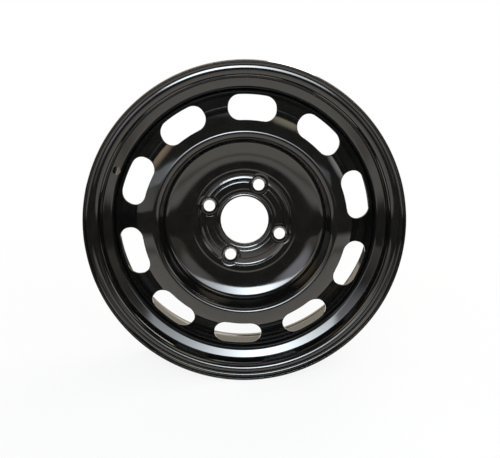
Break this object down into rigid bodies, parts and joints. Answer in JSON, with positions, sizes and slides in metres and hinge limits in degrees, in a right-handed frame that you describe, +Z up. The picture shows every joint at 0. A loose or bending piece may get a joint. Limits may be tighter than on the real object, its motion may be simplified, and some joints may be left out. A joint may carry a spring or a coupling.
{
  "type": "steel wheel",
  "caption": "Pressed-steel car wheel in black enamel: a drop-centre rim welded to a dished, vented disc with a bored and bolted hub face.",
  "frame": {"origin": "on the wheel's axis, halfway between the two bead flanges", "axes": "+Y along the axis towards the car, so the wheel's front faces -Y; +Z up as the wheel stands in the picture"},
  "size_m": [0.441, 0.1784, 0.441],
  "materials": {
    "black_enamel": "gloss"
  },
  "bodies": {
    "root": {"rim": "black_enamel", "disc": "black_enamel", "weld_seams": "black_enamel"}
  },
  "joints": []
}
